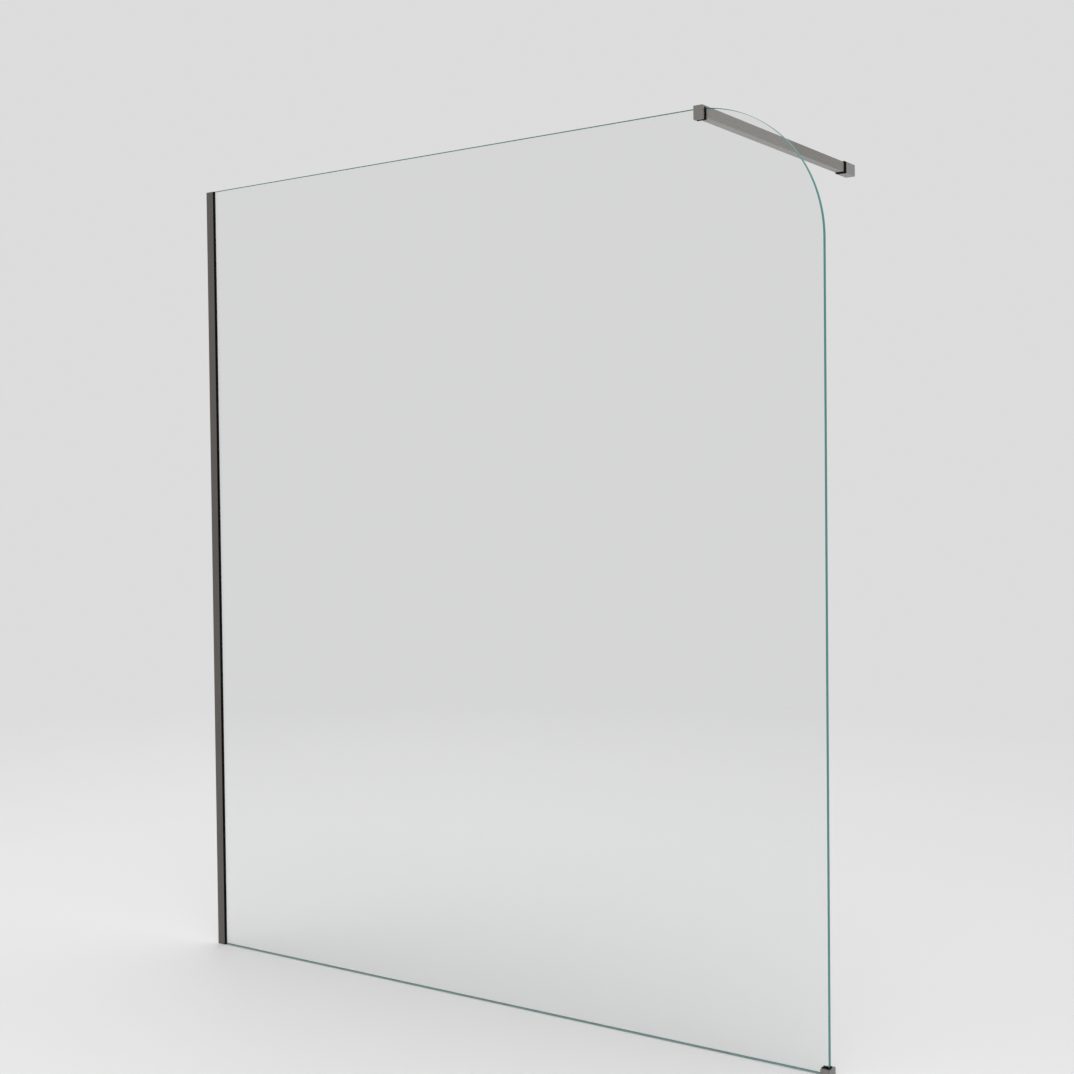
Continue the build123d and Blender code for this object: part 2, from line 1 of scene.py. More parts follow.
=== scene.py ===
# %% [markdown]
# # A walk-in shower screen, dressed around its CAD frame
#
# The real screen is one tall sheet of clear toughened glass. A slim brushed
# profile holds its side edge, a square arm clamps over its top edge and
# reaches back from it, and a small slotted block carries its free corner.
# The CAD frame already has every piece at its real size. What is left for
# this file is how things look: glass that is almost nothing except at its
# edges, brushed gunmetal, black rubber, and a few fine forms.

# %% Load the frame
import math

import bpy
import numpy as np
from mathutils import Matrix, Vector


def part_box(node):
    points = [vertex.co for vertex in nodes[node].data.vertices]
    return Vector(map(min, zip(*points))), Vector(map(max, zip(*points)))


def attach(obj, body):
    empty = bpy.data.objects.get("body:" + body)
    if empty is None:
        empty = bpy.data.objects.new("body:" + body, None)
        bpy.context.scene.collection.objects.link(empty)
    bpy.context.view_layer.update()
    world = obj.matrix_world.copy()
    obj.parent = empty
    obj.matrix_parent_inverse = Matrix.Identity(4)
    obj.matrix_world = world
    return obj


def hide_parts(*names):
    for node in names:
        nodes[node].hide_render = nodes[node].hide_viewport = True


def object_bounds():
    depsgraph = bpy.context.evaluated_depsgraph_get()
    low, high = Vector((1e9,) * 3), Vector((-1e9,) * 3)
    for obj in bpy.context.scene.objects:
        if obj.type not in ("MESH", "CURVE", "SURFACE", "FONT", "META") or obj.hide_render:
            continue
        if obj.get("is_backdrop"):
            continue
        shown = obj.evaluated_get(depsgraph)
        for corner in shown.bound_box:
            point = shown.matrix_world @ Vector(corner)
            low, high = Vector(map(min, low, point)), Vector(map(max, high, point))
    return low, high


def print_box(label, box):
    """Prints the two corners of a box in metres."""
    print(label, "in metres:", [[round(v, 4) for v in corner] for corner in box])


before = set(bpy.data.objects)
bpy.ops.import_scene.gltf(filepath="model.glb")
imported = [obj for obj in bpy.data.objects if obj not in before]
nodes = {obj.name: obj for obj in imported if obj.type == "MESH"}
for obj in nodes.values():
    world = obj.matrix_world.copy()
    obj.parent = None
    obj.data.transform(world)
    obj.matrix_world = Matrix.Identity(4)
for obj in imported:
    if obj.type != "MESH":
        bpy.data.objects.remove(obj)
cad_box = [list(corner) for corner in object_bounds()]
print("nodes in the frame:", len(nodes))
print_box("CAD box", cad_box)

# %% [markdown]
# ## The camera
#
# The view was worked out from the straight lines of the object itself, so it
# is given here as a place, three turning angles and a focal length. The
# matrix is built from the direction of sight and the two directions across
# it, which is easier to check than a chain of turns.

# %% Camera
FOCAL_SHARE = 1569.816 / 1074.0
SENSOR_MM = 36.0
CLIP_NEAR_M, CLIP_FAR_M = 0.05, 100.0
EYE = Vector((3.109051, -2.929254, 1.183850))
YAW, PITCH, ROLL = (math.radians(a) for a in (-35.07224, -1.43716, -0.62438))


def sight_axes(yaw, pitch, roll):
    """Forward from yaw and pitch, right level, up square to both, the last two turned by roll."""
    level = math.cos(pitch)
    forward = Vector((math.sin(yaw) * level, math.cos(yaw) * level, math.sin(pitch)))
    right = Vector((math.cos(yaw), -math.sin(yaw), 0.0))
    up = right.cross(forward)
    turned_right = right * math.cos(roll) + up * math.sin(roll)
    turned_up = up * math.cos(roll) - right * math.sin(roll)
    return turned_right, turned_up, forward


camera_data = bpy.data.cameras.new("camera")
camera_data.sensor_width = SENSOR_MM
camera_data.lens = FOCAL_SHARE * SENSOR_MM
camera_data.clip_start = CLIP_NEAR_M
camera_data.clip_end = CLIP_FAR_M
camera = bpy.data.objects.new("camera", camera_data)
bpy.context.scene.collection.objects.link(camera)
right, up, forward = sight_axes(YAW, PITCH, ROLL)
turn = Matrix((right, up, -forward)).transposed()
camera.matrix_world = Matrix.Translation(EYE) @ turn.to_4x4()
bpy.context.scene.camera = camera
print("lens in mm:", round(camera_data.lens, 2))

# %% [markdown]
# ## Helpers for materials
#
# Every finish is a node tree read from Object coordinates, so that a pattern
# keeps its real size in metres and stays on its piece. A small helper makes
# the tree and hands back its shader, and another lays streaks or grains that
# are long one way and fine the other, which is what brushing leaves.

# %% Material helpers


def new_material(name):
    """A material with an empty Principled shader, and its node tree."""
    material = bpy.data.materials.new(name)
    material.use_nodes = True
    tree = material.node_tree
    shader = tree.nodes["Principled BSDF"]
    return material, tree, shader


def noise(tree, grains_per_m, detail=3.0, roughness=0.55):
    """Noise on Object coordinates with its own number of grains per metre along X, Y and Z."""
    where = tree.nodes.new("ShaderNodeTexCoord")
    size = tree.nodes.new("ShaderNodeMapping")
    size.inputs["Scale"].default_value = grains_per_m
    grain = tree.nodes.new("ShaderNodeTexNoise")
    grain.inputs["Scale"].default_value = 1.0
    grain.inputs["Detail"].default_value = detail
    grain.inputs["Roughness"].default_value = roughness
    tree.links.new(where.outputs["Object"], size.inputs["Vector"])
    tree.links.new(size.outputs["Vector"], grain.inputs["Vector"])
    return grain.outputs["Fac"]


def ramp(tree, factor, low, high, dark, light):
    """A value from low to high turned into a colour from dark to light."""
    band = tree.nodes.new("ShaderNodeValToRGB")
    for element, position, colour in zip(band.color_ramp.elements, (low, high), (dark, light)):
        element.position = position
        element.color = (*colour, 1.0)
    tree.links.new(factor, band.inputs["Fac"])
    return band.outputs["Color"]


def span(tree, factor, low, high, out_low, out_high):
    """A value from low to high mapped onto out_low to out_high."""
    ruler = tree.nodes.new("ShaderNodeMapRange")
    ruler.inputs["From Min"].default_value = low
    ruler.inputs["From Max"].default_value = high
    ruler.inputs["To Min"].default_value = out_low
    ruler.inputs["To Max"].default_value = out_high
    tree.links.new(factor, ruler.inputs["Value"])
    return ruler.outputs["Result"]


def bump(tree, shader, height, depth_m, strength=1.0):
    """A bump of the given depth in metres on the shader's normal."""
    node = tree.nodes.new("ShaderNodeBump")
    node.inputs["Strength"].default_value = strength
    node.inputs["Distance"].default_value = depth_m
    tree.links.new(height, node.inputs["Height"])
    tree.links.new(node.outputs["Normal"], shader.inputs["Normal"])


def blend(tree, factor, first, second):
    """Two shaders in one: the first where the factor is 0, the second where it is 1."""
    node = tree.nodes.new("ShaderNodeMixShader")
    for value, socket in zip((factor, first, second), node.inputs):
        tree.links.new(value, socket)
    return node.outputs["Shader"]


def shade(colour, factor):
    """A colour made lighter or darker by a factor."""
    return tuple(min(1.0, channel * factor) for channel in colour)


def dress(node_name, material):
    """Gives a CAD node its finish in every slot of its object."""
    mesh_object = nodes[node_name]
    for slot in mesh_object.material_slots:
        slot.material = material
    if not mesh_object.material_slots:
        mesh_object.data.materials.append(material)


# %% [markdown]
# ## Brushed gunmetal
#
# The profile, arm and fittings are aluminium and die cast metal with a
# brushed, darkened surface. Brushing runs along the length of an extrusion,
# so the streaks are hundreds of times longer than they are wide. The streaks
# change the colour a little, the roughness more, and cut a bump of a few
# hundredths of a millimetre. A broad slow noise adds the faint clouding
# that a dyed metal surface has. The bracket gets a lighter copy of the
# same gunmetal. That lightness is painted light, standing in for the
# brighter light that the bracket gets.

# %% Brushed gunmetal
FINE_PER_M = 2600.0
LONG_PER_M = 14.0
CLOUD_PER_M = 5.0
STREAK_BAND = (0.25, 0.75)
STREAK_SHADE = (0.90, 1.10)
CLOUD_BAND = (0.3, 0.7)
CLOUD_DARK, CLOUD_LIGHT = (0.93, 0.93, 0.93), (1.0, 1.0, 1.0)
BRUSH_DEPTH_M = 0.00003
BRUSH_STRENGTH = 0.6
PROFILE_TONE = (0.147, 0.136, 0.126)
FITTING_TONE = (0.262, 0.250, 0.238)
ARM_TONE = (0.266, 0.254, 0.238)
# the bracket's tone is the arm's gunmetal painted lighter: painted light for the brighter light on
# the bracket
BRACKET_PAINTED_LIGHT_TONE = (0.330, 0.322, 0.308)


def brushed_gunmetal(name, colour, along, rough=(0.30, 0.44), metal=0.9):
    """Brushed metal whose streaks run along the X, Y or Z axis."""
    material, tree, shader = new_material(name)
    grains = [FINE_PER_M] * 3
    grains["XYZ".index(along)] = LONG_PER_M
    streaks = noise(tree, grains, detail=4.0)
    clouds = noise(tree, (CLOUD_PER_M,) * 3, detail=2.0)
    fine = ramp(tree, streaks, *STREAK_BAND, *(shade(colour, factor) for factor in STREAK_SHADE))
    slow = ramp(tree, clouds, *CLOUD_BAND, CLOUD_DARK, CLOUD_LIGHT)
    mix = tree.nodes.new("ShaderNodeMix")
    mix.data_type = "RGBA"
    mix.blend_type = "MULTIPLY"
    mix.inputs["Factor"].default_value = 1.0
    tree.links.new(fine, mix.inputs["A"])
    tree.links.new(slow, mix.inputs["B"])
    tree.links.new(mix.outputs["Result"], shader.inputs["Base Color"])
    tree.links.new(span(tree, streaks, *STREAK_BAND, *rough), shader.inputs["Roughness"])
    shader.inputs["Metallic"].default_value = metal
    bump(tree, shader, streaks, BRUSH_DEPTH_M, BRUSH_STRENGTH)
    return material


profile_metal = brushed_gunmetal("profile_gunmetal", PROFILE_TONE, "Z")
fitting_metal = brushed_gunmetal("fitting_gunmetal", FITTING_TONE, "X")
arm_metal = brushed_gunmetal("arm_gunmetal", ARM_TONE, "Y", (0.22, 0.34))
# the bracket: a lighter copy of the gunmetal, painted light for the brighter light it gets
bracket_painted_lighter_metal = brushed_gunmetal("bracket_gunmetal_painted_lighter", BRACKET_PAINTED_LIGHT_TONE, "Y")
dress("adjusting_profile", profile_metal)
dress("clamp_body", fitting_metal)
dress("foot_body", fitting_metal)
dress("arm_tube", arm_metal)
dress("bracket_sleeve", bracket_painted_lighter_metal)
brushed = (profile_metal, fitting_metal, arm_metal, bracket_painted_lighter_metal)
print("brushed finishes:", *(material.name for material in brushed))

# %% [markdown]
# ## Hidden metal
#
# The channel inside the profile is plain mill aluminium with drawing lines
# along it, and the screws, disc and plate are plain steel. They are seen
# only when the screen is taken apart or moved, but a real one would have
# these finishes.

# %% Plain metals
MILL_TONE = (0.62, 0.62, 0.63)
STEEL_TONE = (0.55, 0.55, 0.56)
STEEL_NODES = (
    "profile_lock_screws",
    "clamp_pressure_disc",
    "clamp_grub_screw",
    "arm_lock_screw",
    "bracket_wall_plate",
    "bracket_plate_screw",
    "bracket_tube_screw",
)
mill_aluminium = brushed_gunmetal("mill_aluminium", MILL_TONE, "Z", (0.28, 0.40), 1.0)
turned_steel = brushed_gunmetal("turned_steel", STEEL_TONE, "Y", (0.22, 0.34), 1.0)
dress("wall_channel", mill_aluminium)
for name in STEEL_NODES:
    dress(name, turned_steel)
print("nodes in plain steel:", len(STEEL_NODES))

# %% [markdown]
# ## Black rubber
#
# The gaskets are extruded rubber: deep black, matt, with a fine leathery
# grain and a little greying where fingers and soap have been. The grain is a
# noise finer than half a millimetre.

# %% Black rubber
RUBBER_PER_M = 2200.0
BLOOM_PER_M = (30.0, 30.0, 12.0)
RUBBER_DARK = (0.0030, 0.0028, 0.0026)
RUBBER_GREY = (0.0070, 0.0066, 0.0062)
RUBBER_DEPTH_M = 0.00005
RUBBER_NODES = (
    "front_glazing_gasket",
    "rear_glazing_gasket",
    "clamp_gasket",
    "bracket_collar",
    "foot_gasket",
)


def black_rubber(name):
    """Matt black rubber with a fine grain and a faint bloom."""
    material, tree, shader = new_material(name)
    grain = noise(tree, (RUBBER_PER_M,) * 3, detail=3.0)
    bloom = noise(tree, BLOOM_PER_M, detail=3.0)
    tone = ramp(tree, bloom, 0.35, 0.75, RUBBER_DARK, RUBBER_GREY)
    tree.links.new(tone, shader.inputs["Base Color"])
    tree.links.new(span(tree, grain, 0.3, 0.7, 0.48, 0.66), shader.inputs["Roughness"])
    shader.inputs["Specular IOR Level"].default_value = 0.02
    bump(tree, shader, grain, RUBBER_DEPTH_M, 0.7)
    return material


rubber = black_rubber("black_rubber")
for name in RUBBER_NODES:
    dress(name, rubber)
print("nodes in black rubber:", len(RUBBER_NODES))

# %% [markdown]
# ## Moulded plastic
#
# The cap on the profile and the covers on its screws are moulded in the
# colour of the profile. A moulded skin is satin with a fine spark texture.
# The blocks that carry the glass are a harder, paler plastic.

# %% Moulded plastic
SPARK_PER_M = 1500.0
TONE_PER_M = 60.0
SPARK_DEPTH_M = 0.00003
SPARK_ROUGHNESS = 0.06
CAP_TONE = (0.150, 0.142, 0.138)
BLOCK_TONE = (0.55, 0.56, 0.56)


def moulded_plastic(name, colour, rough):
    """Satin plastic with a spark texture and a slight unevenness of tone."""
    material, tree, shader = new_material(name)
    spark = noise(tree, (SPARK_PER_M,) * 3, detail=2.0)
    tone = noise(tree, (TONE_PER_M,) * 3, detail=2.0)
    uneven = ramp(tree, tone, 0.3, 0.7, shade(colour, 0.94), shade(colour, 1.05))
    satin = span(tree, spark, 0.3, 0.7, rough - SPARK_ROUGHNESS, rough + SPARK_ROUGHNESS)
    tree.links.new(uneven, shader.inputs["Base Color"])
    tree.links.new(satin, shader.inputs["Roughness"])
    bump(tree, shader, spark, SPARK_DEPTH_M, 0.6)
    return material


cap_plastic = moulded_plastic("cap_plastic", CAP_TONE, 0.42)
block_plastic = moulded_plastic("block_plastic", BLOCK_TONE, 0.50)
dress("profile_top_cap", cap_plastic)
dress("profile_screw_covers", cap_plastic)
dress("glass_setting_block", block_plastic)
dress("foot_glass_pad", block_plastic)
print("moulded finishes:", cap_plastic.name, block_plastic.name)

# %% [markdown]
# ## Surfaces from numbers
#
# The pieces that follow are drawn from formulas instead of by hand. A piece
# is a grid of points: one direction goes round a closed outline, the other
# goes across it or along its length. numpy works out the whole grid at once,
# and neighbouring points are joined into four-sided faces by their row and
# column alone. It is exact, it can be made as fine as the eye needs, and a
# changed number gives a changed piece.

# %% Surface helpers
X, Y, Z = 0, 1, 2


def joined_grid(rows, columns, endless):
    """Faces (r, c), (r+1, c), (r+1, c+1), (r, c+1) between neighbours, closed along the columns."""
    last = rows if endless else rows - 1
    r, c = np.meshgrid(np.arange(last), np.arange(columns), indexing="ij")
    below, after = (r + 1) % rows, (c + 1) % columns
    corners = [r * columns + c, below * columns + c, below * columns + after, r * columns + after]
    return np.stack(corners, axis=-1).reshape(-1, 4)


def closed_piece(name, grids, materials, smooth=True, endless=False):
    """One mesh from several grids of closed rings, the first and last ring of each filled flat.

    Seen from the first ring's side, each ring runs anticlockwise, so that all faces look outwards.
    An endless grid has no ends: its last ring joins its first, as in a band round a bar.
    """
    faces, ends, base = [], [], 0
    for grid in grids:
        rows, columns, _ = grid.shape
        faces += (joined_grid(rows, columns, endless) + base).tolist()
        if not endless:
            ends.append((base + np.arange(columns)).tolist())
            ends.append((base + (rows - 1) * columns + np.arange(columns)[::-1]).tolist())
        base += rows * columns
    mesh = bpy.data.meshes.new(name)
    points = np.concatenate([grid.reshape(-1, 3) for grid in grids])
    mesh.from_pydata(points.tolist(), [], faces + ends)
    for material in materials:
        mesh.materials.append(material)
    on_side = np.arange(len(faces) + len(ends)) < len(faces)
    mesh.polygons.foreach_set("use_smooth", on_side & smooth)
    mesh.polygons.foreach_set("material_index", on_side * (len(materials) - 1))
    mesh.update()
    piece = bpy.data.objects.new(name, mesh)
    bpy.context.scene.collection.objects.link(piece)
    print(name, "faces:", len(mesh.polygons))
    return piece


def on_axes(first, second, third, place):
    """The grid whose three coordinates lie on the axes that place names."""
    grid = np.empty(first.shape + (3,))
    for axis, values in zip(place, (first, second, third)):
        grid[..., axis] = values
    return grid


def stands_for(piece, body, node):
    """Lets a piece ride on its body in place of a CAD node, which is hidden."""
    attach(piece, body)
    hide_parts(node)


# %% [markdown]
# ## Glass
#
# Through its faces the sheet only takes a few hundredths of the light. Its
# ground and polished edges look deep green, because light there has come a
# long way through the sheet. So the sheet has two finishes: one for its
# faces, and one for the band round its rim, which lets less straight through
# and has the green colour, with fine grinding lines. Lamps shine through the
# sheet as they do through real glass: for the rays that look for a lamp, it
# is simply clear. Toughened glass is never quite flat, since it lay on
# rollers when it was hot, so a very slow wave runs down its faces.

# %% Glass finishes
FACE_TINT = (0.922, 0.931, 0.926)
EDGE_DARK = (0.014, 0.172, 0.160)
EDGE_LIGHT = (0.022, 0.230, 0.216)
EDGE_CLEARNESS = 0.15
GLASS_IOR = 1.52
WAVES_PER_M = (0.4, 0.4, 3.5)
WAVE_DEPTH_M = 0.00002
GRINDING_PER_M = (1400.0, 120.0, 1400.0)
GRINDING_DEPTH_M = 0.00001


def clear_glass(name):
    """Clear glass with a slow roller wave, clear to lamps."""
    material, tree, shader = new_material(name)
    shader.inputs["Base Color"].default_value = (*FACE_TINT, 1.0)
    shader.inputs["Transmission Weight"].default_value = 1.0
    shader.inputs["Roughness"].default_value = 0.0
    shader.inputs["IOR"].default_value = GLASS_IOR
    bump(tree, shader, noise(tree, WAVES_PER_M, detail=0.0), WAVE_DEPTH_M)
    passing = tree.nodes.new("ShaderNodeBsdfTransparent")
    passing.inputs["Color"].default_value = (*FACE_TINT, 1.0)
    to_lamp = tree.nodes.new("ShaderNodeLightPath").outputs["Is Shadow Ray"]
    surface = blend(tree, to_lamp, shader.outputs["BSDF"], passing.outputs["BSDF"])
    tree.links.new(surface, tree.nodes["Material Output"].inputs["Surface"])
    return material


def glass_rim(name):
    """The green of a polished edge, with fine lines along Y from grinding."""
    material, tree, shader = new_material(name)
    lines = noise(tree, GRINDING_PER_M, detail=2.0)
    green = ramp(tree, lines, 0.3, 0.7, EDGE_DARK, EDGE_LIGHT)
    tree.links.new(green, shader.inputs["Base Color"])
    tree.links.new(span(tree, lines, 0.3, 0.7, 0.06, 0.16), shader.inputs["Roughness"])
    shader.inputs["Transmission Weight"].default_value = EDGE_CLEARNESS
    shader.inputs["IOR"].default_value = GLASS_IOR
    bump(tree, shader, lines, GRINDING_DEPTH_M, 0.5)
    return material


glass = clear_glass("clear_glass")
rim_glass = glass_rim("polished_rim")
print("glass tint:", FACE_TINT, "rim:", EDGE_DARK, EDGE_LIGHT)

# %% [markdown]
# ## The sheet
#
# The sheet could stay as the CAD solid, but its large corner is cut into
# facets there, and a facet shows as a kink in the fine green line. Here the
# outline is a rectangle whose corners are quarter circles, walked round once.
# Across the rim, a second curve goes from one face to the other: a flat band
# with its two sharp corners rubbed off in small quarter circles, as the
# polisher leaves them. Every rim point is the outline point moved inwards.

# %% The sheet
CORNER_R = 0.300
FOOT_CORNER_R = 0.003
PROFILE_CORNER_R = 0.001
ARRIS = 0.0008
CORNER_STEPS = 96
ARRIS_STEPS = 6


def rounded_rectangle(x0, x1, z0, z1, radii, steps):
    """Points round a rectangle: each corner is centre + r (cos a, sin a) over a quarter turn."""
    r = np.array(radii)[:, None]
    centre_x = np.array([x0, x1, x1, x0])[:, None] + r * np.array([1, -1, -1, 1])[:, None]
    centre_z = np.array([z0, z0, z1, z1])[:, None] + r * np.array([1, 1, -1, -1])[:, None]
    start = np.array([1.0, 1.5, 0.0, 0.5])[:, None] * math.pi
    a = start + np.linspace(0.0, 0.5, steps + 1)[None, :] * math.pi
    return np.stack([centre_x + r * np.cos(a), centre_z + r * np.sin(a)], axis=-1).reshape(-1, 2)


def outward_of(ring):
    """At each point of an anticlockwise ring, the next minus the previous point, turned right."""
    along = np.roll(ring, -1, axis=0) - np.roll(ring, 1, axis=0)
    along /= np.linalg.norm(along, axis=1, keepdims=True)
    return np.stack([along[:, 1], -along[:, 0]], axis=-1)


def rim_profile(low, high, arris, steps):
    """How far in and how far along each ring is: quarter circle, flat band, quarter circle."""
    a = np.linspace(0.0, 0.5, steps + 1) * math.pi
    inward = arris * (1.0 - np.sin(a))
    step = arris * (1.0 - np.cos(a))
    return np.concatenate([inward, inward[::-1]]), np.concatenate([low + step, high - step[::-1]])


def carried(ring, low, high, arris, steps, place):
    """A ring carried from low to high, each point moved in by as much as the rim profile says."""
    inward, along = rim_profile(low, high, arris, steps)
    flat = ring[None, :, :] - inward[:, None, None] * outward_of(ring)[None, :, :]
    return on_axes(flat[..., 0], flat[..., 1], along[:, None], place)


(sx0, sy0, sz0), (sx1, sy1, sz1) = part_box("glass_panel")
sheet_corners = (FOOT_CORNER_R, FOOT_CORNER_R, CORNER_R, PROFILE_CORNER_R)
sheet_ring = rounded_rectangle(sx0, sx1, sz0, sz1, sheet_corners, CORNER_STEPS)
sheet_grid = carried(sheet_ring, sy0, sy1, ARRIS, ARRIS_STEPS, (X, Z, Y))
sheet = closed_piece("glass_sheet", [sheet_grid], [glass, rim_glass])
stands_for(sheet, "screen", "glass_panel")
dress("glass_panel", glass)
print("sheet, wide and high in metres:", round(sx1 - sx0, 4), round(sz1 - sz0, 4))

# %% [markdown]
# ## Rubber sections
#
# Gaskets and liners are extruded or moulded rubber, so no edge of them is
# sharp. Each one is drawn as the outline of its section, its corners are
# softened, and the section is carried along a straight line with rounded
# ends. A softened corner is a short curve that starts and ends on the two
# sides and is pulled towards the corner. Cutting the edges with a Bevel
# modifier would do it too, but a drawn section also gives the gasket its
# rounded flange that covers the end of the metal leg.

# %% Softened sections
SOFT_STEPS = 4
END_STEPS = 3
END_SOFT = 0.0003
LARGEST_SHARE = 0.45


def softened(points, radius, steps):
    """Each corner P becomes (1-t)^2 S + 2t(1-t) P + t^2 E, S and E a radius away on its sides."""
    p = np.array(points, float)
    before, after = np.roll(p, 1, axis=0) - p, np.roll(p, -1, axis=0) - p
    length_in = np.linalg.norm(before, axis=1, keepdims=True)
    length_out = np.linalg.norm(after, axis=1, keepdims=True)
    start = p + before / length_in * np.minimum(radius, LARGEST_SHARE * length_in)
    end = p + after / length_out * np.minimum(radius, LARGEST_SHARE * length_out)
    t = np.linspace(0.0, 1.0, steps + 1)[None, :, None]
    curve = (1 - t) ** 2 * start[:, None] + 2 * t * (1 - t) * p[:, None] + t**2 * end[:, None]
    return curve.reshape(-1, 2)


def anticlockwise(ring):
    """The ring turned round where the sum of x1 y2 - x2 y1 is negative."""
    after = np.roll(ring, -1, axis=0)
    twice_area = np.sum(ring[:, 0] * after[:, 1] - after[:, 0] * ring[:, 1])
    return ring if twice_area > 0 else ring[::-1]


def rubber_section(name, sections, place, radius, body, node):
    """Softened sections (outline, from, to) carried along one axis, in black rubber."""
    grids = []
    for points, low, high in sections:
        ring = anticlockwise(softened(points, radius, SOFT_STEPS))
        grids.append(carried(ring, low, high, min(radius, END_SOFT), END_STEPS, place))
    stands_for(closed_piece(name, grids, [rubber]), body, node)


# %% [markdown]
# ## Glazing gaskets
#
# The two gaskets hold the glass in the profile. From outside only the flange
# over the end of the metal leg is seen, as the black line beside it, and at
# the front a thin lip that lies on the glass. Below the top cap the section
# is a wedge between glass and leg, a neck under the leg's bead, and the
# flange. Beside the cap the flange runs on alone. The section lies in X and
# Y and runs up along Z. Looking up, X and Y would turn the wrong way round,
# so it is drawn with Y first. Rubber that touches glass keeps a gap of a few
# hundredths of a millimetre, since two surfaces in one place flicker.

# %% Glazing gaskets
SECTION_R = 0.00025
TOUCH = 0.00003
LEG_END_X = 0.0240
FLANGE_T = 0.0005
WEDGE_T, WEDGE_TIP_T, WEDGE_SLOPE = 0.0010, 0.0006, 0.0006
NECK_T, NECK_LENGTH, NECK_SLOPE = 0.00065, 0.0010, 0.0004
LIP_T, LIP_TIP_T, LIP_SLOPE = 0.0006, 0.0002, 0.0003
LIP_LEAST = 0.0010
CAP_T = 0.0015
CAP_LAP = 0.0002


def gasket_sections(side, glass_y, outer_y, tip_x, lip_x):
    """Outlines (y, x) below the cap and beside it; a thickness t lies at glass_y + side t."""
    flange_x = LEG_END_X + FLANGE_T
    held = [
        (glass_y, tip_x),
        (glass_y + side * WEDGE_TIP_T, tip_x),
        (glass_y + side * WEDGE_T, tip_x + WEDGE_SLOPE),
        (glass_y + side * WEDGE_T, LEG_END_X - NECK_LENGTH - NECK_SLOPE),
        (glass_y + side * NECK_T, LEG_END_X - NECK_LENGTH),
        (glass_y + side * NECK_T, LEG_END_X),
    ]
    flange = [(outer_y, LEG_END_X), (outer_y, flange_x)]
    if lip_x > flange_x + LIP_LEAST:
        flange += [(glass_y + side * LIP_T, lip_x - LIP_SLOPE), (glass_y + side * LIP_TIP_T, lip_x)]
    flange += [(glass_y, lip_x)]
    return held + flange, flange + [(glass_y, LEG_END_X)]


for side, name in ((-1, "front_glazing_gasket"), (1, "rear_glazing_gasket")):
    (gx0, gy0, gz0), (gx1, gy1, gz1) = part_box(name)
    glass_y, outer_y = (gy1 - TOUCH, gy0) if side < 0 else (gy0 + TOUCH, gy1)
    below_cap, beside_cap = gasket_sections(side, glass_y, outer_y, gx0, gx1)
    cap_z = gz1 - CAP_T
    sections = [(below_cap, gz0, cap_z), (beside_cap, cap_z - CAP_LAP, gz1)]
    rubber_section(name + "_section", sections, (Y, X, Z), SECTION_R, "screen", name)

# %% [markdown]
# ## Liners of the clamp and the foot
#
# The clamp's liner is a saddle: a U seen from the side, bent over the top
# edge of the glass. The foot's liner is a U seen from above, round the free
# corner of the glass. Both are one section carried along one axis.

# %% Liners
LINER_SOFT = 0.0005
front_y, rear_y = sy0 - TOUCH, sy1 + TOUCH
(cx0, cy0, cz0), (cx1, cy1, cz1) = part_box("clamp_gasket")
saddle = [
    (cz0, cy0),
    (cz0, front_y),
    (sz1 + TOUCH, front_y),
    (sz1 + TOUCH, rear_y),
    (cz0, rear_y),
    (cz0, cy1),
    (cz1, cy1),
    (cz1, cy0),
]
saddle_run = [(saddle, cx0, cx1)]
rubber_section("clamp_liner", saddle_run, (Z, Y, X), LINER_SOFT, "support_arm", "clamp_gasket")

(lx0, ly0, lz0), (lx1, ly1, lz1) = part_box("foot_gasket")
horseshoe = [
    (ly0, lx0),
    (ly0, lx1),
    (ly1, lx1),
    (ly1, lx0),
    (rear_y, lx0),
    (rear_y, sx1 + TOUCH),
    (front_y, sx1 + TOUCH),
    (front_y, lx0),
]
horseshoe_run = [(horseshoe, lz0, lz1)]
rubber_section("foot_liner", horseshoe_run, (Y, X, Z), LINER_SOFT, "screen", "foot_gasket")

# %% [markdown]
# ## The bracket's collar
#
# Where the arm enters its bracket, a moulded black collar closes the gap. It
# is a band with no ends: a small closed section that goes once round the
# tube. Each point of the section says how far it is from the outer outline
# towards the inner one, and how far it is along the arm, and the ring there
# is the mean of the two outlines with that share.

# %% Bracket collar
COLLAR_OUTER_R = 0.0008
COLLAR_INNER_R = 0.0006
COLLAR_LIP = 0.00045
COLLAR_SIDE_T = 0.0015
COLLAR_TOP_T = 0.0020
COLLAR_CORNER_STEPS = 8
COLLAR_LIP_STEPS = 5


def band_round(outer, inner, share, along, place):
    """Ring i is (1 - share_i) times the outer outline plus share_i times the inner, at along_i."""
    share = share[:, None, None]
    flat = (1 - share) * outer[None] + share * inner[None]
    return on_axes(flat[..., 0], flat[..., 1], along[:, None], place)


def collar_ring(side_in, top_in, radius):
    """The collar's outline moved in by two thicknesses, with rounded corners."""
    (x0, _, z0), (x1, _, z1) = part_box("bracket_collar")
    edges = (x0 + side_in, x1 - side_in, z0 + top_in, z1 - top_in)
    return rounded_rectangle(*edges, (radius,) * 4, COLLAR_CORNER_STEPS)


collar_y0, collar_y1 = (corner[Y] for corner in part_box("bracket_collar"))
outer_ring = collar_ring(0.0, 0.0, COLLAR_OUTER_R)
inner_ring = collar_ring(COLLAR_SIDE_T, COLLAR_TOP_T, COLLAR_INNER_R)
block = [(0, collar_y0), (0, collar_y1), (COLLAR_SIDE_T, collar_y1), (COLLAR_SIDE_T, collar_y0)]
section = softened(block, COLLAR_LIP, COLLAR_LIP_STEPS)
section_share = section[:, 0] / COLLAR_SIDE_T
collar_grid = band_round(outer_ring, inner_ring, section_share, section[:, 1], (X, Z, Y))
collar = closed_piece("bracket_collar_band", [collar_grid], [rubber], endless=True)
stands_for(collar, "wall_bracket", "bracket_collar")

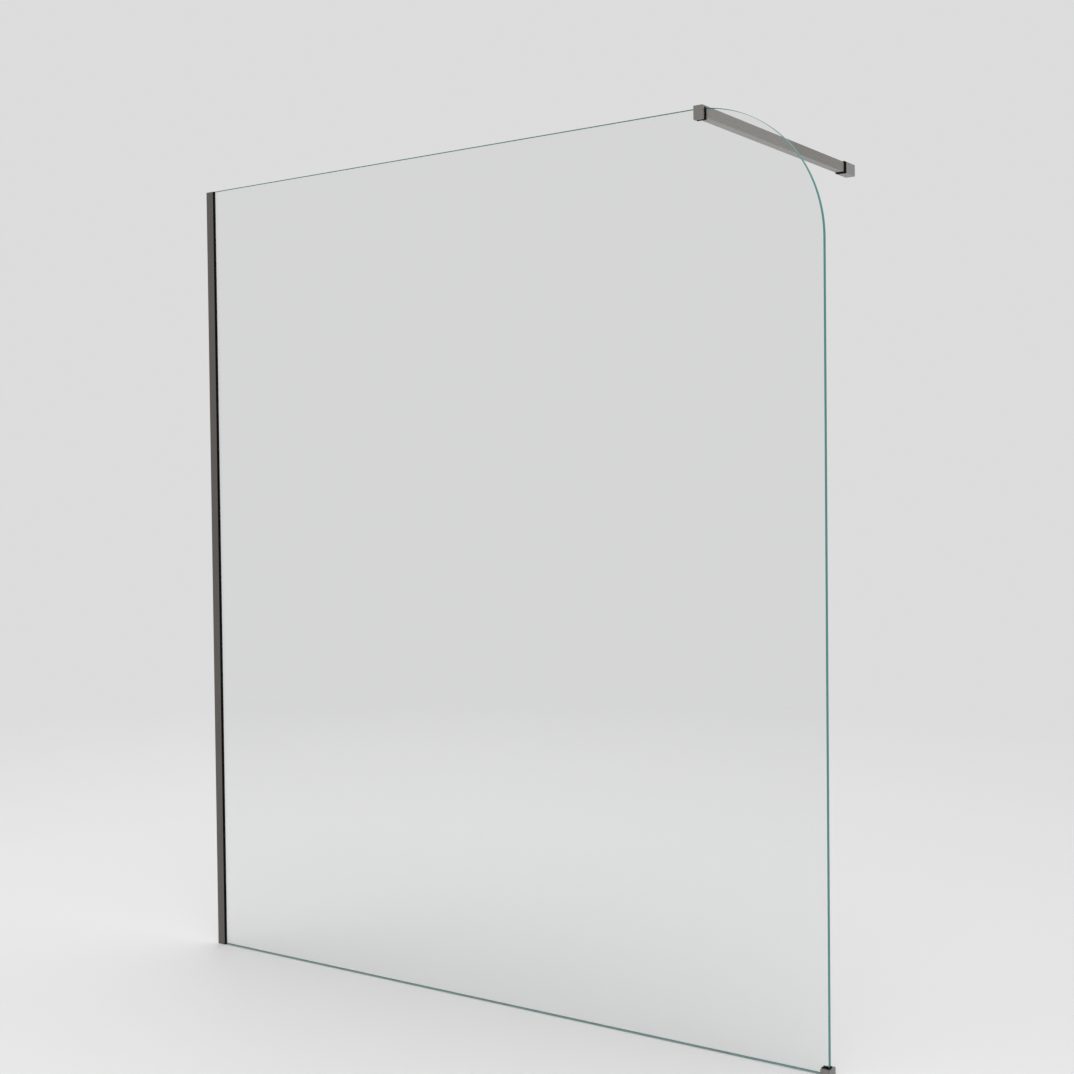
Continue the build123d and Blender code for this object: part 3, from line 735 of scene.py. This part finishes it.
# %% [markdown]
# ## Threads and turned forms
#
# The screws are small, but whoever takes the screen apart sees them close,
# so they get a real thread. A thread is one formula: the radius falls and
# rises once for each pitch along the screw, and the pattern moves along by
# one pitch for each turn round it. A cone at both ends cuts the thread back.
# The hexagon socket is two more rings, whose radius is the distance to the
# nearest flat, one at the mouth and one at the bottom.

# %% Threads and turned forms
ROUND_STEPS = 48
RINGS_PER_PITCH = 8
THREAD_DEPTH_SHARE = 0.54
turn_angle = np.arange(ROUND_STEPS) * 2 * math.pi / ROUND_STEPS


def hexagon(across):
    """Radius at each angle: half the width divided by cos of the angle from a flat's middle."""
    return across / 2 / np.cos(np.mod(turn_angle, math.pi / 3) - math.pi / 6)


def thread(radius, low, high, pitch):
    """Rings of a right-hand thread: r = R - d |2 frac(t) - 1|, t = along / pitch + angle / 2 pi."""
    depth = THREAD_DEPTH_SHARE * pitch
    along = np.linspace(low, high, int((high - low) / pitch * RINGS_PER_PITCH) + 2)[:, None]
    t = along / pitch + turn_angle / (2 * math.pi)
    cut = radius - depth * np.abs(2 * np.mod(t, 1.0) - 1)
    cone = radius - depth + np.minimum(along - low, high - along)
    return list(zip(np.minimum(cut, cone), along[:, 0]))


def turned(rings, centre, place):
    """Rings (r, along) round a centre line: centre + r (cos a, sin a), r alone or one per angle."""
    radius = np.stack([np.broadcast_to(r, turn_angle.shape) for r, _ in rings])
    first = centre[0] + radius * np.cos(turn_angle)
    second = centre[1] + radius * np.sin(turn_angle)
    return on_axes(first, second, np.array([along for _, along in rings])[:, None], place)


print("threads: rings per pitch", RINGS_PER_PITCH, "points per ring", ROUND_STEPS)

# %% [markdown]
# ## Grub screws
#
# Four headless screws lock the arm and its bracket, and one of them runs
# along the arm and presses the disc on the glass. Each fills the box of its
# CAD node, so its radius and length are read from there. The socket is at
# the lower end where a screw is turned from below, and at the far end where
# it is turned along the arm.

# %% Grub screws
CLAMP_SCREW = {"pitch": 0.0010, "socket": 0.0030, "place": (X, Z, Y)}
UPRIGHT_SCREW = {"pitch": 0.0007, "socket": 0.0020, "place": (Y, X, Z)}


def grub_screw(name, node, body, socket_depth, pitch, socket, place):
    """A headless screw in its node's box, its socket at the low end along Z, the high end along Y."""
    low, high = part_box(node)
    first, second, third = place
    radius = (high[first] - low[first]) / 2
    centre = ((high[first] + low[first]) / 2, (high[second] + low[second]) / 2)
    rings = thread(radius, low[third], high[third], pitch)
    six = hexagon(socket)
    if third == Z:
        rings = [(six, low[third] + socket_depth), (six, low[third])] + rings
    else:
        rings += [(six, high[third]), (six, high[third] - socket_depth)]
    piece = closed_piece(name, [turned(rings, centre, place)], [turned_steel], smooth=False)
    stands_for(piece, body, node)


grub_screw("clamp_grub_screw_thread", "clamp_grub_screw", "support_arm", 0.0040, **CLAMP_SCREW)
grub_screw("arm_lock_screw_thread", "arm_lock_screw", "support_arm", 0.0020, **UPRIGHT_SCREW)
grub_screw("plate_screw_thread", "bracket_plate_screw", "wall_bracket", 0.0010, **UPRIGHT_SCREW)
grub_screw("tube_screw_thread", "bracket_tube_screw", "wall_bracket", 0.0010, **UPRIGHT_SCREW)

# %% [markdown]
# ## Lock screws and their covers
#
# Three pan head screws lock the profile on its channel, from its rear side,
# and each has a small domed cover. Both are turned forms: a list of radii
# along a line. A cover is drawn as one walk from the middle of its ceiling,
# down the inside, round the rim and up over the dome.

# %% Lock screws
LOCK_SCREWS = 3
LOCK_PITCH = 0.0006
SHANK_D = 0.0035
HEAD_T = 0.0019
HEAD_ROUND = 0.0008
HEAD_STEPS = 6
LOCK_SOCKET, LOCK_SOCKET_DEPTH = 0.0024, 0.0011


def centres_in(node, half):
    """Middle x and centre heights: the ends of the node's box moved in by half, and between."""
    low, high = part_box(node)
    heights = np.linspace(low[Z] + half, high[Z] - half, LOCK_SCREWS)
    return [((low[X] + high[X]) / 2, z) for z in heights]


def quarter(r0, r1, y0, y1, steps):
    """A quarter ellipse: r = r1 + (r0 - r1) cos a, y = y0 + (y1 - y0) sin a."""
    a = np.linspace(0.0, 0.5, steps + 1) * math.pi
    return list(zip(r1 + (r0 - r1) * np.cos(a), y0 + (y1 - y0) * np.sin(a)))


def pan_head(centre, tip, top, head_r):
    """Thread up to the head, its flat underside, its side and rounded rim, then the socket."""
    under = top - HEAD_T
    shank = thread(SHANK_D / 2, tip, under, LOCK_PITCH)
    rim = quarter(head_r, head_r - HEAD_ROUND, top - HEAD_ROUND, top, HEAD_STEPS)
    six = hexagon(LOCK_SOCKET)
    rings = shank + [(head_r, under)] + rim + [(six, top), (six, top - LOCK_SOCKET_DEPTH)]
    return turned(rings, centre, (X, Z, Y))


(kx0, ky0, _), (kx1, ky1, _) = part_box("profile_lock_screws")
head_r = (kx1 - kx0) / 2
lock_centres = centres_in("profile_lock_screws", head_r)
lock_grids = [pan_head(c, ky0, ky1, head_r) for c in lock_centres]
lock_screws = closed_piece("lock_screw_threads", lock_grids, [turned_steel], smooth=False)
stands_for(lock_screws, "screen", "profile_lock_screws")

# %% Screw covers
COVER_T = 0.0009
COVER_CEILING_T = 0.0008
CEILING_MIDDLE_R = 0.0004
COVER_RIM_SOFT = 0.0002
DOME_SHOULDER = 0.0008
DOME_FROM, DOME_TO = 0.0012, 0.0002
DOME_STEPS = 6
CROWN_SHARES, CROWN_DROPS = (0.55, 0.2), (0.00006, 0.0)


def domed_cover(centre, base, top, outer_r):
    """A cap with a flat ceiling inside and a dome outside, walked from the ceiling to the crown."""
    inner_r, ceiling = outer_r - COVER_T, top - COVER_CEILING_T
    inside = [(CEILING_MIDDLE_R, ceiling), (inner_r, ceiling), (inner_r, base)]
    rim = [(inner_r + COVER_RIM_SOFT, base), (outer_r, base + COVER_RIM_SOFT)]
    dome = quarter(outer_r, outer_r - DOME_SHOULDER, top - DOME_FROM, top - DOME_TO, DOME_STEPS)
    crown = [(outer_r * share, top - drop) for share, drop in zip(CROWN_SHARES, CROWN_DROPS)]
    return turned(inside + rim + dome + crown, centre, (X, Z, Y))


(vx0, vy0, _), (vx1, vy1, _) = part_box("profile_screw_covers")
cover_r = (vx1 - vx0) / 2
cover_centres = centres_in("profile_screw_covers", cover_r)
cover_grids = [domed_cover(c, vy0, vy1, cover_r) for c in cover_centres]
covers = closed_piece("domed_screw_covers", cover_grids, [cap_plastic])
stands_for(covers, "screen", "profile_screw_covers")

# %% [markdown]
# ## Floor
#
# The screen stands on a plain pale floor that takes its soft shadow. Far
# from the screen the floor fades into the grey of the surround, so that no
# horizon cuts through the glass. The fade goes by the distance from the
# middle of the floor, and the far part gives its own light, so that it has
# just the surround's tone.

# %% Floor
SURROUND = (0.72, 0.72, 0.72)
FLOOR_TONE = (0.75, 0.75, 0.75)
FLOOR_ROUGHNESS = 0.6
FLOOR_HALF_M = 30.0
FADE_FROM_M = 1.5
FADE_TO_M = 5.0
floor_mesh = bpy.data.meshes.new("floor")
corners = np.array([(-1, -1, 0), (1, -1, 0), (1, 1, 0), (-1, 1, 0)], float) * FLOOR_HALF_M
floor_mesh.from_pydata(corners.tolist(), [], [(0, 1, 2, 3)])
floor = bpy.data.objects.new("floor", floor_mesh)
bpy.context.scene.collection.objects.link(floor)
floor_material, floor_tree, floor_shader = new_material("pale_floor")
floor_shader.inputs["Base Color"].default_value = (*FLOOR_TONE, 1.0)
floor_shader.inputs["Roughness"].default_value = FLOOR_ROUGHNESS
far = floor_tree.nodes.new("ShaderNodeEmission")
far.inputs["Color"].default_value = (*SURROUND, 1.0)
where = floor_tree.nodes.new("ShaderNodeTexCoord")
reach = floor_tree.nodes.new("ShaderNodeVectorMath")
reach.operation = "LENGTH"
floor_tree.links.new(where.outputs["Object"], reach.inputs[0])
fade = span(floor_tree, reach.outputs["Value"], FADE_FROM_M, FADE_TO_M, 0.0, 1.0)
faded = blend(floor_tree, fade, floor_shader.outputs["BSDF"], far.outputs["Emission"])
floor_tree.links.new(faded, floor_tree.nodes["Material Output"].inputs["Surface"])
floor_mesh.materials.append(floor_material)
floor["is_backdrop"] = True
print("floor fades from", FADE_FROM_M, "to", FADE_TO_M, "metres from its middle")

# %% [markdown]
# ## Surround
#
# The world is one even grey, and it has two levels. The eye, the metal and
# the glass see the surround at its own grey. Once light has left a dull
# surface, a brighter level counts, which lights the screen and the floor
# softly from all sides. The choice is made from the kind of ray, and it
# holds through the sheet too, or the floor would look stained on both sides
# of the glass.

# %% Surround
LIGHT_LEVEL = 0.93
HALF_A_BOUNCE = 0.5


def worked_out(tree, operation, first, second):
    """A Math node on two values, the second a socket or a plain number."""
    node = tree.nodes.new("ShaderNodeMath")
    node.operation = operation
    tree.links.new(first, node.inputs[0])
    if isinstance(second, float):
        node.inputs[1].default_value = second
    else:
        tree.links.new(second, node.inputs[1])
    return node.outputs["Value"]


def background(tree, colour, strength):
    """A world shader of one colour and strength."""
    node = tree.nodes.new("ShaderNodeBackground")
    node.inputs["Color"].default_value = (*colour, 1.0)
    node.inputs["Strength"].default_value = strength
    return node.outputs["Background"]


world = bpy.data.worlds.new("surround")
bpy.context.scene.world = world
world.use_nodes = True
world_tree = world.node_tree
world_tree.nodes.clear()
lit = background(world_tree, (1.0, 1.0, 1.0), LIGHT_LEVEL)
seen = background(world_tree, SURROUND, 1.0)
ray = world_tree.nodes.new("ShaderNodeLightPath").outputs
sharp = worked_out(world_tree, "MAXIMUM", ray["Is Camera Ray"], ray["Is Glossy Ray"])
sharp = worked_out(world_tree, "MAXIMUM", sharp, ray["Is Transmission Ray"])
undulled = worked_out(world_tree, "LESS_THAN", ray["Diffuse Depth"], HALF_A_BOUNCE)
looked_at = worked_out(world_tree, "MULTIPLY", sharp, undulled)
world_out = world_tree.nodes.new("ShaderNodeOutputWorld")
world_tree.links.new(blend(world_tree, looked_at, lit, seen), world_out.inputs["Surface"])
print("surround:", SURROUND, "light:", LIGHT_LEVEL)

# %% [markdown]
# ## Lamps
#
# One large soft lamp from above in front and a weaker one from behind give
# the metal a lighter and a darker side. They are hidden from gloss and from
# the glass, which would show them as bright squares.

# %% Lamps
AIM = (0.9, 0.2, 1.0)
LAMPS = (("key", (3.2, -3.6, 4.6), 3.0, 110.0), ("fill", (-2.5, 3.5, 4.0), 3.5, 25.0))
for name, place, size_m, watts in LAMPS:
    lamp_data = bpy.data.lights.new(name, "AREA")
    lamp_data.shape = "SQUARE"
    lamp_data.size = size_m
    lamp_data.energy = watts
    lamp = bpy.data.objects.new(name, lamp_data)
    lamp.location = place
    lamp.rotation_euler = (Vector(AIM) - Vector(place)).to_track_quat("-Z", "Y").to_euler()
    lamp.visible_glossy = False
    lamp.visible_transmission = False
    bpy.context.scene.collection.objects.link(lamp)
    print("lamp:", name, watts, "W")

# %% [markdown]
# ## Colours, sizes and the end
#
# The Standard view shows a colour about as it is written. The box of the
# dressed screen is printed, as the CAD box is at the start. The dressing
# may not reach past the real size.

# %% Colours, sizes and the end
bpy.context.scene.view_settings.view_transform = "Standard"
visual_box = [list(corner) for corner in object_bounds()]
print_box("visual box", visual_box)
